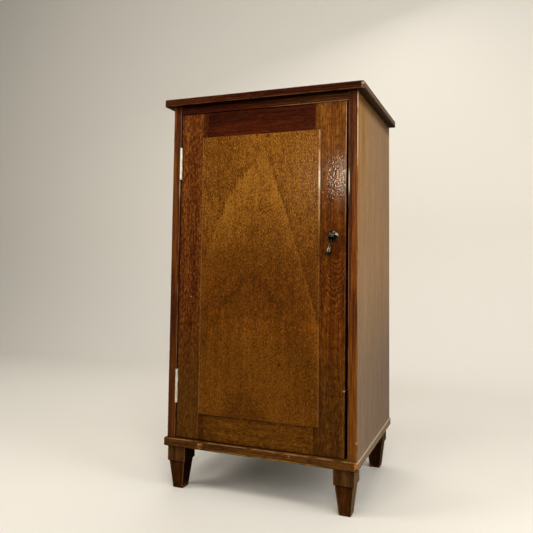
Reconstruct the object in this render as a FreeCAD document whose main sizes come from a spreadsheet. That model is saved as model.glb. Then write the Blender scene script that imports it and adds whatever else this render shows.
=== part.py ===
import FreeCAD, Part
import math
import os
import re
import Sketcher
from FreeCAD import Rotation, Vector

# Record cabinet: a framed door with a planted panel closes a case that holds two tiers of record slots.
# The case stands on a nosed base board and four square tapered legs.
# Millimetres, +Z up, the door towards -Y.  The origin is on the floor, under the middle of the overall
# width and depth.

# How many there are of what repeats, and how many flat sides the small round pieces have.
DIVIDERS = 4
KNUCKLES = 5
SCREW_SIDES = 8
NUT_SIDES = 6
SPRING_TURNS = 5
SPRING_RUNS_PER_TURN = 8
FULL_TURN = 360

SIZES = {
    # case
    "carcass_width": 450.0,
    "carcass_depth": 363.0,
    "carcass_height": 772.5,
    "side_thickness": 20.5,
    "side_housing": 6.0,
    "side_outer_round": 2.0,
    "side_inner_round": 1.0,
    "top_thickness": 17.0,
    "top_overhang": 16.5,
    "top_corner": 4.0,
    "top_arris": 3.0,
    "top_under_arris": 1.5,
    "base_thickness": 18.0,
    "base_front_projection": 10.0,
    "base_side_projection": 3.0,
    "base_corner": 2.5,
    "base_arris": 2.0,
    "base_under_arris": 1.5,
    "header_height": 18.5,
    "header_depth": 20.0,
    "header_tenon_length": 12.0,
    "header_tenon_thickness": 10.0,
    "header_shoulder": 3.5,
    "inner_top_thickness": 15.0,
    "back_thickness": 6.0,
    "back_recess": 2.2,
    "back_lap": 10.0,
    # record slots
    "shelf_thickness": 15.0,
    "shelf_level": 371.0,
    "shelf_housing": 7.0,
    "shelf_setback": 24.0,
    "divider_thickness": 6.0,
    "divider_groove": 4.0,
    "divider_setback": 40.0,
    # legs
    "leg_height": 97.0,
    "leg_block": 45.5,
    "leg_block_height": 35.5,
    "leg_step": 3.0,
    "leg_foot": 25.5,
    "leg_side_inset": 5.0,
    "leg_front_inset": 6.0,
    "leg_rear_inset": 19.0,
    "leg_arris": 1.0,
    "foot_chamfer": 1.5,
    "leg_tenon": 20.0,
    "leg_tenon_height": 10.0,
    # door
    "door_thickness": 20.0,
    "door_top_gap": 1.6,
    "door_bottom_gap": 2.0,
    "hinge_gap": 2.9,
    "lock_gap_top": 4.2,
    "lock_gap_bottom": 7.3,
    "door_arris": 1.2,
    "stile_width": 70.0,
    "rail_height": 70.0,
    "tenon_length": 30.0,
    "tenon_thickness": 7.0,
    "tenon_shoulder": 10.0,
    "panel_thickness": 5.0,
    "panel_lap": 12.0,
    "panel_arris": 2.0,
    "stop_gap": 0.4,
    "stop_depth": 12.0,
    "stop_drop": 20.0,
    "stop_length": 300.0,
    # butt hinges
    "hinge_length": 76.0,
    "hinge_inset": 78.0,
    "knuckle_radius": 3.0,
    "knuckle_proud": 1.5,
    "knuckle_clearance": 0.3,
    "leaf_thickness": 2.0,
    "leaf_width": 24.0,
    "pin_radius": 1.4,
    "pin_clearance": 0.04,
    # drop pull
    "pull_height": 461.0,
    "pull_from_panel": 29.0,
    "rose_radius": 12.5,
    "rose_edge": 1.8,
    "rose_thickness": 4.5,
    "rose_crown": 5.0,
    "rose_shoulder_radius": 8.5,
    "rose_shoulder": 3.4,
    "stem_radius": 2.5,
    "post_radius": 3.2,
    "pivot_reach": 10.5,
    "pivot_drop": 3.0,
    "eye_barrel_radius": 4.4,
    "eye_barrel_width": 10.0,
    "eye_slot": 6.2,
    "eye_radius": 3.3,
    "eye_thickness": 4.2,
    "pull_pin_radius": 1.2,
    "pull_pin_proud": 0.3,
    "nut_radius": 5.2,
    "nut_thickness": 3.0,
    "stem_past_nut": 1.5,
    "drop_length": 40.0,
    "drop_shank_radius": 1.8,
    "drop_shank_length": 5.6,
    "drop_neck_radius": 2.8,
    "drop_bulb_radius": 5.5,
    "drop_flare_angle": 20.0,
    "drop_lean": 9.0,
    # bullet catch
    "catch_from_edge": 30.0,
    "catch_radius": 4.0,
    "catch_length": 14.0,
    "catch_floor": 1.0,
    "catch_lip": 0.6,
    "bullet_radius": 2.6,
    "bullet_proud": 2.4,
    "bullet_shoulder": 0.3,
    "bullet_tip_radius": 1.2,
    "bullet_flange_radius": 3.2,
    "bullet_flange_height": 1.5,
    "spring_radius": 2.2,
    "spring_wire": 0.6,
    "strike_length": 30.0,
    "strike_width": 12.0,
    "strike_thickness": 1.2,
    "strike_hole_radius": 2.7,
    "strike_dimple": 3.0,
    # hinge screws
    "screw_radius": 1.7,
    "screw_head": 3.3,
    "screw_head_depth": 1.6,
    "screw_length": 15.0,
    "screw_pitch": 27.0,
    "fit_clearance": 0.05,
}

# Places that follow from the sizes.
PLACES = {
    "front": "-(carcass_depth - top_overhang) / 2",
    "back": "front + carcass_depth",
    "left": "-carcass_width / 2",
    "right": "carcass_width / 2",
    "left_inner": "left + side_thickness",
    "right_inner": "right - side_thickness",
    "base_top": "leg_height + base_thickness",
    "carcass_top": "base_top + carcass_height",
    "top_front": "front - top_overhang",
    "base_front": "front - base_front_projection",
    "header_bottom": "carcass_top - header_height",
    "header_back": "front + header_depth",
    "header_tenon_front": "front + (header_depth - header_tenon_thickness) / 2",
    "inner_top_bottom": "carcass_top - inner_top_thickness",
    "panel_back": "back - back_recess",
    "back_face": "panel_back - back_thickness",
    "shelf_bottom": "base_top + shelf_level",
    "shelf_top": "shelf_bottom + shelf_thickness",
    "slot_width": f"(right_inner - left_inner - {DIVIDERS} * divider_thickness) / {DIVIDERS + 1}",
    "divider_front": "front + divider_setback",
    "door_left": "left_inner + hinge_gap",
    "door_right_top": "right_inner - lock_gap_top",
    "door_right_bottom": "right_inner - lock_gap_bottom",
    "door_bottom": "base_top + door_bottom_gap",
    "door_top": "header_bottom - door_top_gap",
    "door_back": "front + door_thickness",
    "hinge_stile_inner": "door_left + stile_width",
    "lock_stile_inner": "door_right_top - stile_width",
    "tenon_front": "front + (door_thickness - tenon_thickness) / 2",
    "panel_left": "hinge_stile_inner - panel_lap",
    "panel_right": "lock_stile_inner + panel_lap",
    "hinge_x": "left_inner + hinge_gap / 2",
    "hinge_y": "front - knuckle_proud",
    "screw_y": "hinge_y + (knuckle_radius + leaf_width) / 2",
    "pull_x": "panel_right + pull_from_panel",
    "pull_z": "door_bottom + pull_height",
    "pivot_y": "front - pivot_reach",
    "pivot_z": "pull_z - pivot_drop",
    "slot_floor": "pivot_y + eye_radius + (eye_slot - eye_thickness) / 2",
    "stem_end": "door_back + nut_thickness + stem_past_nut",
    "catch_x": "door_right_top - catch_from_edge",
    "catch_y": "front + door_thickness / 2",
    "catch_bottom": "door_top - catch_length",
    "bullet_flange_top": "door_top - catch_lip - fit_clearance",
    "bullet_flange_bottom": "bullet_flange_top - bullet_flange_height",
}

TOLERANCE = 0.001

doc = FreeCAD.newDocument("record_cabinet")
sheet = doc.addObject("Spreadsheet::Sheet", "Sizes")
for row, (alias, size) in enumerate(SIZES.items(), 1):
    sheet.set(f"A{row}", alias)
    sheet.set(f"B{row}", str(size))
    sheet.setAlias(f"B{row}", alias)
doc.recompute()

pieces = {}


def formula(text):
    """Write a size or place out in cells of the sheet, each place as its own formula."""
    def word(match):
        name = match[0]
        if name in PLACES:
            return f"({formula(PLACES[name])})"
        return f"Sizes.{name}" if name in SIZES else name
    return re.sub(r"[a-z]\w*", word, text)


def value(text):
    """The number that a size or place has now."""
    return sheet.evalExpression(formula(text))


def bind(thing, **properties):
    """Tie properties of an object to the sheet; a double underscore stands for a dot."""
    for path, text in properties.items():
        thing.setExpression(path.replace("__", "."), formula(text))


def between(ends):
    return f"({ends[1]}) - ({ends[0]})"


# Drawing and shaping

def sketch_on(body, plane, offset):
    """An empty sketch on one of the body's own planes, moved by the offset in the sketch's axes."""
    sketch = body.newObject("Sketcher::SketchObject", f"{body.Name}_sketch")
    support = next(part for part in body.Origin.OriginFeatures if part.Role == plane)
    sketch.AttachmentSupport = (support, [""])
    sketch.MapMode = "FlatFace"
    bind(sketch, **{f"AttachmentOffset__Base__{axis}": text for axis, text in zip("xyz", offset)})
    return sketch


def pin(sketch, geometry, vertex, point):
    """Tie one vertex of the sketch to its distances from the sketch's origin."""
    for kind, text in zip(("DistanceX", "DistanceY"), point):
        rule = Sketcher.Constraint(kind, -1, 1, geometry, vertex, value(text))
        sketch.setExpression(f"Constraints[{sketch.addConstraint(rule)}]", formula(text))


def clockwise_arc(start, end, radius):
    """The arc of under a half circle that turns right from start to end."""
    chord = end - start
    right = Vector(chord.y, -chord.x, 0).normalize()
    centre = (start + end) / 2 + right * (radius ** 2 - (chord.Length / 2) ** 2) ** 0.5
    angles = [math.atan2(point.y - centre.y, point.x - centre.x) for point in (end, start)]
    return Part.ArcOfCircle(Part.Circle(centre, Vector(0, 0, 1), radius), *angles)


def outline(body, plane, points, offset):
    """A closed outline through points given as formulas; a third formula makes the line there an arc."""
    sketch = sketch_on(body, plane, offset)
    corners = [Vector(value(point[0]), value(point[1]), 0) for point in points]
    count = len(points)
    ends = []
    for index in range(count):
        start, end, radius = corners[index], corners[(index + 1) % count], points[(index + 1) % count][2:]
        if radius:
            sketch.addGeometry(clockwise_arc(start, end, value(radius[0])))
            rule = sketch.addConstraint(Sketcher.Constraint("Radius", index, value(radius[0])))
            sketch.setExpression(f"Constraints[{rule}]", formula(radius[0]))
        else:
            sketch.addGeometry(Part.LineSegment(start, end))
        ends.append((2, 1) if radius else (1, 2))
    for index in range(count):
        following = (index + 1) % count
        rule = Sketcher.Constraint("Coincident", index, ends[index][1], following, ends[following][0])
        sketch.addConstraint(rule)
        pin(sketch, index, ends[index][0], points[index][:2])
    return sketch


def rectangle(body, plane, across, along, offset):
    points = [(across[0], along[0]), (across[1], along[0]), (across[1], along[1]), (across[0], along[1])]
    return outline(body, plane, points, offset)


def circle(body, plane, centre, radius, offset):
    sketch = sketch_on(body, plane, offset)
    middle = Vector(value(centre[0]), value(centre[1]), 0)
    sketch.addGeometry(Part.Circle(middle, Vector(0, 0, 1), value(radius)))
    pin(sketch, 0, 3, centre)
    rule = sketch.addConstraint(Sketcher.Constraint("Radius", 0, value(radius)))
    sketch.setExpression(f"Constraints[{rule}]", formula(radius))
    return sketch


def feature(body, kind, sketch, **sizes):
    shape = body.newObject(f"PartDesign::{kind}", f"{body.Name}_{kind.lower()}")
    shape.Profile = sketch
    bind(shape, **sizes)
    return shape


def pad(body, x, y, z):
    """Add a block that spans the given ends on each axis."""
    return feature(body, "Pad", rectangle(body, "XY_Plane", x, y, ("0", "0", z[0])), Length=between(z))


def cut(body, x, y, z):
    """Take out a block: a housing, rebate, mortise, groove or slot."""
    return feature(body, "Pocket", rectangle(body, "XY_Plane", x, y, ("0", "0", z[1])), Length=between(z))


def new_body(label):
    body = doc.addObject("PartDesign::Body", label)
    body.Label = label
    return body


def board(label, x, y, z):
    body = new_body(label)
    pad(body, x, y, z)
    return body


def turned(body, plane, points, offset, lean="0"):
    """A turned solid: the outline spun round the sketch's upright axis, which may lean in its plane."""
    sketch = outline(body, plane, points, offset)
    bind(sketch, AttachmentOffset__Rotation__Angle=lean)
    spin = feature(body, "Revolution", sketch)
    spin.ReferenceAxis = (sketch, ["V_Axis"])
    spin.Angle = FULL_TURN


def edges_on(body, **planes):
    """The names of the edges that lie in all of the given planes."""
    doc.recompute()
    names = set()
    for number, edge in enumerate(body.Tip.Shape.Edges, 1):
        box = edge.BoundBox
        ends = {"x": (box.XMin, box.XMax), "y": (box.YMin, box.YMax), "z": (box.ZMin, box.ZMax)}
        if all(abs(end - value(place)) < TOLERANCE for axis, place in planes.items() for end in ends[axis]):
            names.add(f"Edge{number}")
    return names


def ease(body, kind, names, **size):
    """Round or chamfer the named edges."""
    softened = body.newObject(f"PartDesign::{kind}", f"{body.Name}_{kind.lower()}")
    softened.Base = (softened.BaseFeature, sorted(names))
    bind(softened, **size)


# Drilling and fastening

HEADINGS = {
    "+x": Rotation(Vector(0, 1, 0), 90),
    "-x": Rotation(Vector(0, 1, 0), -90),
    "+y": Rotation(Vector(1, 0, 0), -90),
    "-y": Rotation(Vector(1, 0, 0), 90),
    "+z": Rotation(),
    "-z": Rotation(Vector(1, 0, 0), 180),
}


def place(thing, point, heading):
    thing.Placement = FreeCAD.Placement(Vector(), HEADINGS[heading])
    bind(thing, **{f"Placement__Base__{axis}": text for axis, text in zip("xyz", point)})


def rod(name, point, heading, radius, length):
    """A plain cylinder from the point along the heading."""
    cylinder = doc.addObject("Part::Cylinder", name)
    bind(cylinder, Radius=radius, Height=length)
    place(cylinder, point, heading)
    return cylinder


def prism(name, point, heading, sides, radius, length):
    """A bar with flat sides from the point along the heading."""
    bar = doc.addObject("Part::Prism", name)
    bar.Polygon = sides
    bind(bar, Circumradius=radius, Height=length)
    place(bar, point, heading)
    return bar


def screw(name, point, heading, clearance="0"):
    """A flat-headed screw, or with a clearance its hole: head at the point, shank along the heading."""
    whole = doc.addObject("Part::Fuse", name)
    whole.Base = prism(f"{name}_shank", point, heading, SCREW_SIDES, f"screw_radius + {clearance}",
                       f"screw_length + {clearance}")
    whole.Tool = prism(f"{name}_head", point, heading, SCREW_SIDES, f"screw_head + {clearance}",
                       "screw_head_depth")
    return whole


def group(label, members):
    bundle = doc.addObject("Part::Compound", label)
    bundle.Label = label
    bundle.Links = members
    return bundle


def screws(label, spots):
    """A set of like screws as one node, and the holes that they need."""
    pieces[label] = group(label, [screw(f"{label}_{n}", *spot) for n, spot in enumerate(spots, 1)])
    return [screw(f"{label}_hole_{n}", *spot, "fit_clearance") for n, spot in enumerate(spots, 1)]


def drilled(label, blank, holes):
    """The finished piece: its blank with the holes taken out."""
    blank.Label = f"{label}_blank"
    bored = doc.addObject("Part::Cut", f"{label}_drilled")
    bored.Label = label
    bored.Base = blank
    bored.Tool = group(f"{label}_holes", holes)
    pieces[label] = bored


def finished(label, piece):
    piece.Label = label
    pieces[label] = piece


# Dividers and their grooves

def divider_span(index):
    """Both faces of a divider, counted from the left."""
    start = f"left_inner + {index} * slot_width + {index - 1} * divider_thickness"
    return start, f"{start} + divider_thickness"


divider_spans = [divider_span(index) for index in range(1, DIVIDERS + 1)]


def grooves(body, z):
    for span in divider_spans:
        cut(body, span, ("divider_front", "back_face"), z)


def make_dividers():
    tiers = {
        "lower": ("base_top - divider_groove", "shelf_bottom + divider_groove"),
        "upper": ("shelf_top - divider_groove", "inner_top_bottom + divider_groove"),
    }
    for tier, z in tiers.items():
        for index, span in enumerate(divider_spans, 1):
            label = f"{tier}_divider_{index}"
            finished(label, board(label, span, ("divider_front", "back_face"), z))


# Case

def make_top_board():
    """The top overhangs the front and the sides and lies flush with the back."""
    z = ("carcass_top", "carcass_top + top_thickness")
    x = ("left - top_overhang", "right + top_overhang")
    body = board("top_board", x, ("top_front", "back"), z)
    ease(body, "Fillet", edges_on(body, x=x[0], y="top_front") | edges_on(body, x=x[1], y="top_front"),
         Radius="top_corner")
    ease(body, "Fillet", edges_on(body, z=z[1]) - edges_on(body, y="back"), Radius="top_arris")
    ease(body, "Fillet", edges_on(body, z=z[0]) - edges_on(body, y="back"), Radius="top_under_arris")
    return body


def make_base_board():
    """The base board carries the sides in housings and shows an eased edge in front and at the sides."""
    z = ("leg_height", "base_top")
    x = ("left - base_side_projection", "right + base_side_projection")
    body = board("base_board", x, ("base_front", "back"), z)
    ease(body, "Fillet", edges_on(body, x=x[0], y="base_front") | edges_on(body, x=x[1], y="base_front"),
         Radius="base_corner")
    ease(body, "Fillet", edges_on(body, z=z[1]) - edges_on(body, y="back"), Radius="base_arris")
    ease(body, "Chamfer", edges_on(body, z=z[0]) - edges_on(body, y="back"), Size="base_under_arris")
    for side in (("left", "left_inner"), ("right_inner", "right")):
        cut(body, side, ("front", "back"), ("base_top - side_housing", "base_top"))
    grooves(body, ("base_top - divider_groove", "base_top"))
    return body


def make_side(label, outer, inner, inward):
    """A side panel; inward is the sign of the step from its outer to its inner face."""
    def depth_from_inner(depth):
        return tuple(sorted((f"{inner} - ({inward}) * {depth}", inner), key=value))
    x = tuple(sorted((outer, inner), key=value))
    body = board(label, x, ("front", "back"), ("base_top - side_housing", "carcass_top"))
    ease(body, "Fillet", edges_on(body, x=outer, y="front"), Radius="side_outer_round")
    ease(body, "Fillet", edges_on(body, x=inner, y="front"), Radius="side_inner_round")
    cut(body, depth_from_inner("back_lap"), ("back_face", "back"), ("base_top", "carcass_top"))
    housing = depth_from_inner("shelf_housing")
    cut(body, housing, ("front + shelf_setback", "back_face"), ("shelf_bottom", "shelf_top"))
    cut(body, housing, ("header_back", "back_face"), ("inner_top_bottom", "carcass_top"))
    cut(body, depth_from_inner("header_tenon_length"),
        ("header_tenon_front", "header_tenon_front + header_tenon_thickness"),
        ("header_bottom + header_shoulder", "carcass_top - header_shoulder"))
    return body


def make_header_rail():
    """The rail over the door, tenoned into both sides."""
    body = board("header_rail", ("left_inner", "right_inner"), ("front", "header_back"),
                 ("header_bottom", "carcass_top"))
    pad(body, ("left_inner - header_tenon_length", "right_inner + header_tenon_length"),
        ("header_tenon_front", "header_tenon_front + header_tenon_thickness"),
        ("header_bottom + header_shoulder", "carcass_top - header_shoulder"))
    cut(body, ("catch_x - strike_length / 2", "catch_x + strike_length / 2"),
        ("catch_y - strike_width / 2", "catch_y + strike_width / 2"),
        ("header_bottom", "header_bottom + strike_thickness"))
    return body


def make_housed_board(label, y, z):
    """A board held in the housings of both sides."""
    return board(label, ("left_inner - shelf_housing", "right_inner + shelf_housing"), y, z)


def make_case():
    finished("top_board", make_top_board())

    inner_top = make_housed_board("inner_top", ("header_back", "back_face"),
                                  ("inner_top_bottom", "carcass_top"))
    grooves(inner_top, ("inner_top_bottom", "inner_top_bottom + divider_groove"))
    finished("inner_top", inner_top)

    shelf = make_housed_board("middle_shelf", ("front + shelf_setback", "back_face"),
                              ("shelf_bottom", "shelf_top"))
    grooves(shelf, ("shelf_bottom", "shelf_bottom + divider_groove"))
    grooves(shelf, ("shelf_top - divider_groove", "shelf_top"))
    finished("middle_shelf", shelf)

    finished("back_panel", board("back_panel", ("left_inner - back_lap", "right_inner + back_lap"),
                                 ("back_face", "panel_back"), ("base_top", "carcass_top")))

    stop_y = "door_back + stop_gap"
    finished("door_stop", board("door_stop", ("-stop_length / 2", "stop_length / 2"),
                                (stop_y, f"{stop_y} + stop_depth"),
                                ("inner_top_bottom - stop_drop", "inner_top_bottom")))


# Legs

LEG_TENON = ("leg_height", "leg_height + leg_tenon_height")


def square(middle, width):
    return f"{middle} - ({width}) / 2", f"{middle} + ({width}) / 2"


def upright_edges(body, low, high):
    """The names of the edges that run all the way between the two levels."""
    doc.recompute()
    boxes = [edge.BoundBox for edge in body.Tip.Shape.Edges]
    return {
        f"Edge{number}" for number, box in enumerate(boxes, 1)
        if abs(box.ZMin - value(low)) < TOLERANCE and abs(box.ZMax - value(high)) < TOLERANCE
    }


def make_leg(label, x, y):
    """A square block with a tenon on top, stepped in at a slant and then tapered to the foot."""
    block_bottom = "leg_height - leg_block_height"
    step_top = f"{block_bottom} + leg_step"
    body = board(label, square(x, "leg_block"), square(y, "leg_block"), ("0", "leg_height"))
    ease(body, "Fillet", upright_edges(body, "0", "leg_height"), Radius="leg_arris")
    waste = [("leg_block", "0"), ("leg_block", step_top), ("leg_block / 2", step_top),
             ("(leg_block / 2 - leg_step)", block_bottom), ("leg_foot / 2", "0")]
    cuts = (("XZ_Plane", x, f"leg_block - ({y})"), ("YZ_Plane", y, f"{x} + leg_block"))
    for plane, middle, start in cuts:
        for side in ("-", "+"):
            points = [(f"{middle} {side} {across}", level) for across, level in waste]
            profile = outline(body, plane, points, ("0", "0", start))
            feature(body, "Pocket", profile, Length="2 * leg_block")
    ease(body, "Chamfer", upright_edges(body, "0", block_bottom), Size="leg_arris")
    ease(body, "Chamfer", edges_on(body, z="0"), Size="foot_chamfer")
    pad(body, square(x, "leg_tenon"), square(y, "leg_tenon"), LEG_TENON)
    finished(label, body)


def make_legs(base):
    """Four legs, each with its tenon in a blind mortise in the base board."""
    half = "leg_block / 2"
    lines = {"left": f"left + leg_side_inset + {half}", "right": f"right - leg_side_inset - {half}"}
    rows = {"front": f"base_front + leg_front_inset + {half}", "rear": f"back - leg_rear_inset - {half}"}
    for row, y in rows.items():
        for side, x in lines.items():
            make_leg(f"{row}_{side}_leg", x, y)
            cut(base, square(x, "leg_tenon"), square(y, "leg_tenon"), LEG_TENON)
    finished("base_board", base)


# Door

def mortises(body, x):
    for start in ("door_bottom", "door_top - rail_height"):
        cut(body, x, ("tenon_front", "tenon_front + tenon_thickness"),
            (f"{start} + tenon_shoulder", f"{start} + rail_height - tenon_shoulder"))


def make_hinge_stile():
    body = board("hinge_stile", ("door_left", "hinge_stile_inner"), ("front", "door_back"),
                 ("door_bottom", "door_top"))
    ease(body, "Fillet", edges_on(body, y="front") - edges_on(body, x="hinge_stile_inner"),
         Radius="door_arris")
    mortises(body, ("hinge_stile_inner - tenon_length", "hinge_stile_inner"))
    return body


def make_lock_stile():
    """The closing stile, planed to a slight taper so that its gap widens downwards."""
    body = new_body("lock_stile")
    points = [("lock_stile_inner", "door_bottom"), ("door_right_bottom", "door_bottom"),
              ("door_right_top", "door_top"), ("lock_stile_inner", "door_top")]
    profile = outline(body, "XZ_Plane", points, ("0", "0", "-(door_back)"))
    feature(body, "Pad", profile, Length="door_thickness")
    ease(body, "Fillet", edges_on(body, y="front") - edges_on(body, x="lock_stile_inner"),
         Radius="door_arris")
    mortises(body, ("lock_stile_inner", "lock_stile_inner + tenon_length"))
    return body


def make_door_rail(label, z, outer):
    """A door rail with a tenon at each end; outer is the level of its outside edge."""
    body = board(label, ("hinge_stile_inner", "lock_stile_inner"), ("front", "door_back"), z)
    ease(body, "Fillet", edges_on(body, y="front", z=outer), Radius="door_arris")
    pad(body, ("hinge_stile_inner - tenon_length", "lock_stile_inner + tenon_length"),
        ("tenon_front", "tenon_front + tenon_thickness"),
        (f"{z[0]} + tenon_shoulder", f"{z[1]} - tenon_shoulder"))
    finished(label, body)


def make_panel():
    """The flat panel, planted on the face of the frame and lapping stiles and rails alike."""
    lap = "rail_height - panel_lap"
    face = "front - panel_thickness"
    body = board("door_panel", ("panel_left", "panel_right"), (face, "front"),
                 (f"door_bottom + {lap}", f"door_top - ({lap})"))
    ease(body, "Fillet", edges_on(body, y=face), Radius="panel_arris")
    finished("door_panel", body)


# Butt hinges

HINGE_LEVELS = {
    "upper": "door_top - hinge_inset - hinge_length",
    "lower": "door_bottom + hinge_inset",
}
FRAME_LEAF = ("left_inner - leaf_thickness", "left_inner")
DOOR_LEAF = ("door_left", "door_left + leaf_thickness")


def make_leaf(label, x, bottom, own, holes):
    """A hinge leaf: a plate notched for the other leaf's knuckles, with its own knuckles on the edge.

    Knuckles are numbered from the bottom; own is 0 for the leaf with the even ones, 1 for the odd ones.
    """
    body = board(label, x, ("hinge_y", "hinge_y + leaf_width"), (bottom, f"{bottom} + hinge_length"))
    pitch = f"hinge_length / {KNUCKLES}"
    axis = ("hinge_x", "hinge_y")
    for number in range(KNUCKLES):
        start = f"{bottom} + {number} * {pitch}"
        end = f"{start} + {pitch}"
        if number % 2 == own:
            low = f"{start} + knuckle_clearance / 2"
            feature(body, "Pad", circle(body, "XY_Plane", axis, "knuckle_radius", ("0", "0", low)),
                    Length=f"{pitch} - knuckle_clearance")
        else:
            cut(body, x, ("hinge_y", "hinge_y + knuckle_radius + knuckle_clearance"),
                (f"{start} - knuckle_clearance / 2", f"{end} + knuckle_clearance / 2"))
    bore_top = ("0", "0", f"{bottom} + hinge_length")
    bore = circle(body, "XY_Plane", axis, "pin_radius + pin_clearance", bore_top)
    feature(body, "Pocket", bore, Length="hinge_length")
    drilled(label, body, holes)


def hinge_screw_spots(x, heading):
    return [
        ((x, "screw_y", f"{bottom} + hinge_length / 2 + {step} * screw_pitch"), heading)
        for bottom in HINGE_LEVELS.values() for step in (-1, 0, 1)
    ]


def make_hinges(side, stile):
    """Two butt hinges, let into the left side and the hinge stile; returns the holes in either."""
    frame_holes = screws("hinge_frame_screws", hinge_screw_spots("left_inner", "-x"))
    door_holes = screws("hinge_door_screws", hinge_screw_spots("door_left", "+x"))
    knuckle_room = []
    per_leaf = len(frame_holes) // len(HINGE_LEVELS)
    for index, (name, bottom) in enumerate(HINGE_LEVELS.items()):
        own_screws = slice(index * per_leaf, (index + 1) * per_leaf)
        make_leaf(f"{name}_hinge_frame_leaf", FRAME_LEAF, bottom, 0, frame_holes[own_screws])
        make_leaf(f"{name}_hinge_door_leaf", DOOR_LEAF, bottom, 1, door_holes[own_screws])
        point = ("hinge_x", "hinge_y", bottom)
        finished(f"{name}_hinge_pin", rod(f"{name}_hinge_pin", point, "+z", "pin_radius", "hinge_length"))
        recess = (bottom, f"{bottom} + hinge_length")
        cut(side, FRAME_LEAF, ("front", "hinge_y + leaf_width"), recess)
        cut(stile, DOOR_LEAF, ("front", "hinge_y + leaf_width"), recess)
        knuckle_room.append(rod(f"{name}_knuckle_room", point, "+z", "knuckle_radius + knuckle_clearance",
                                "hinge_length"))
    return frame_holes + knuckle_room, door_holes + knuckle_room


# Drop pull

def make_pull():
    """A turned rose, a post with a slotted eye below its axis, and a pear drop that swings on a pin."""
    axis = ("pull_x", "0", "pull_z")

    rose = new_body("pull_rose")
    bore = "stem_radius + fit_clearance"
    turned(rose, "XY_Plane", [
        (bore, "front"), ("rose_radius", "front"), ("rose_radius", "front - rose_edge"),
        ("rose_shoulder_radius", "front - rose_shoulder"), ("rose_crown", "front - rose_thickness"),
        (bore, "front - rose_thickness")], axis)
    finished("pull_rose", rose)

    post = new_body("pull_post")
    turned(post, "XY_Plane", [
        ("0", "stem_end"), ("stem_radius", "stem_end"), ("stem_radius", "front - rose_thickness"),
        ("post_radius", "front - rose_thickness"), ("post_radius", "slot_floor"),
        ("0", "slot_floor")], axis)
    pivot = ("pivot_y", "pivot_z")
    half = "eye_barrel_width / 2"
    barrel = circle(post, "YZ_Plane", pivot, "eye_barrel_radius", ("0", "0", f"pull_x - {half}"))
    feature(post, "Pad", barrel, Length="eye_barrel_width")
    eye_z = square("pivot_z", "2 * eye_barrel_radius")
    pad(post, square("pull_x", "eye_barrel_width"), ("pivot_y", "front - rose_thickness"), eye_z)
    cut(post, square("pull_x", "eye_slot"), ("pivot_y - eye_barrel_radius", "slot_floor"), eye_z)
    pin_hole = "pull_pin_radius + pin_clearance"
    bore_start = ("0", "0", f"pull_x + {half}")
    bore_circle = circle(post, "YZ_Plane", pivot, pin_hole, bore_start)
    feature(post, "Pocket", bore_circle, Length="eye_barrel_width")
    finished("pull_post", post)

    pin_start = (f"pull_x - {half} - pull_pin_proud", "pivot_y", "pivot_z")
    pin_length = "eye_barrel_width + 2 * pull_pin_proud"
    finished("pull_pin", rod("pull_pin", pin_start, "+x", "pull_pin_radius", pin_length))

    nut_point = ("pull_x", "door_back", "pull_z")
    nut = prism("pull_nut_blank", nut_point, "+y", NUT_SIDES, "nut_radius", "nut_thickness")
    drilled("pull_nut", nut, [rod("pull_nut_hole", nut_point, "+y", bore, "nut_thickness")])

    drop = new_body("pull_drop")
    eye_side = ("0", "0", "pull_x - eye_thickness / 2")
    feature(drop, "Pad", circle(drop, "YZ_Plane", pivot, "eye_radius", eye_side), Length="eye_thickness")
    bulb_level = "(drop_length - drop_bulb_radius)"
    flare = "(drop_bulb_radius - drop_neck_radius * cos(drop_flare_angle)) / sin(drop_flare_angle)"
    turned(drop, "XZ_Plane", [
        ("0", "-eye_radius / 2"), ("drop_shank_radius", "-eye_radius / 2"),
        ("drop_shank_radius", "-drop_shank_length"), ("drop_neck_radius", "-drop_shank_length"),
        ("drop_neck_radius", f"{flare} - {bulb_level}"),
        ("drop_bulb_radius * cos(drop_flare_angle)",
         f"drop_bulb_radius * sin(drop_flare_angle) - {bulb_level}"),
        ("0", "-drop_length", "drop_bulb_radius")],
        ("pull_x", "pivot_z", "-(pivot_y)"), "-atan(drop_lean / drop_length)")
    bore_start = ("0", "0", "pull_x + eye_thickness / 2")
    feature(drop, "Pocket", circle(drop, "YZ_Plane", pivot, pin_hole, bore_start), Length="eye_thickness")
    finished("pull_drop", drop)

    return [rod("pull_stem_hole", ("pull_x", "front", "pull_z"), "+y", bore, "door_thickness")]


# Bullet catch

def make_spring():
    """The catch spring, hidden in its barrel: a square wire wound in straight runs."""
    runs = SPRING_RUNS_PER_TURN * SPRING_TURNS
    height = value("bullet_flange_bottom - catch_bottom - catch_floor - 2 * (spring_wire + fit_clearance)")
    corner = Vector(value("spring_radius"), 0, 0)

    def point(run):
        turn = Rotation(Vector(0, 0, 1), FULL_TURN / SPRING_RUNS_PER_TURN * run)
        return turn.multVec(corner) + Vector(0, 0, height * run / runs)

    path = Part.makePolygon([point(run) for run in range(runs + 1)])
    outward = point(0).normalize()
    upward = outward.cross(point(1) - point(0)).normalize()
    half = value("spring_wire / 2")
    signs = ((-1, -1), (1, -1), (1, 1), (-1, 1), (-1, -1))
    section = Part.makePolygon(
        [corner + outward * half * across + upward * half * up for across, up in signs])
    right_corners = 1
    spring = doc.addObject("Part::Feature", "catch_spring")
    spring.Shape = path.makePipeShell([section], True, False, right_corners)
    place(spring, ("catch_x", "catch_y", "catch_bottom + catch_floor + spring_wire + fit_clearance"), "+z")
    finished("catch_spring", spring)
    gap = height / SPRING_TURNS - value("spring_wire")
    print(f"gap between the turns of the catch spring: {gap:.2f} mm")


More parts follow.
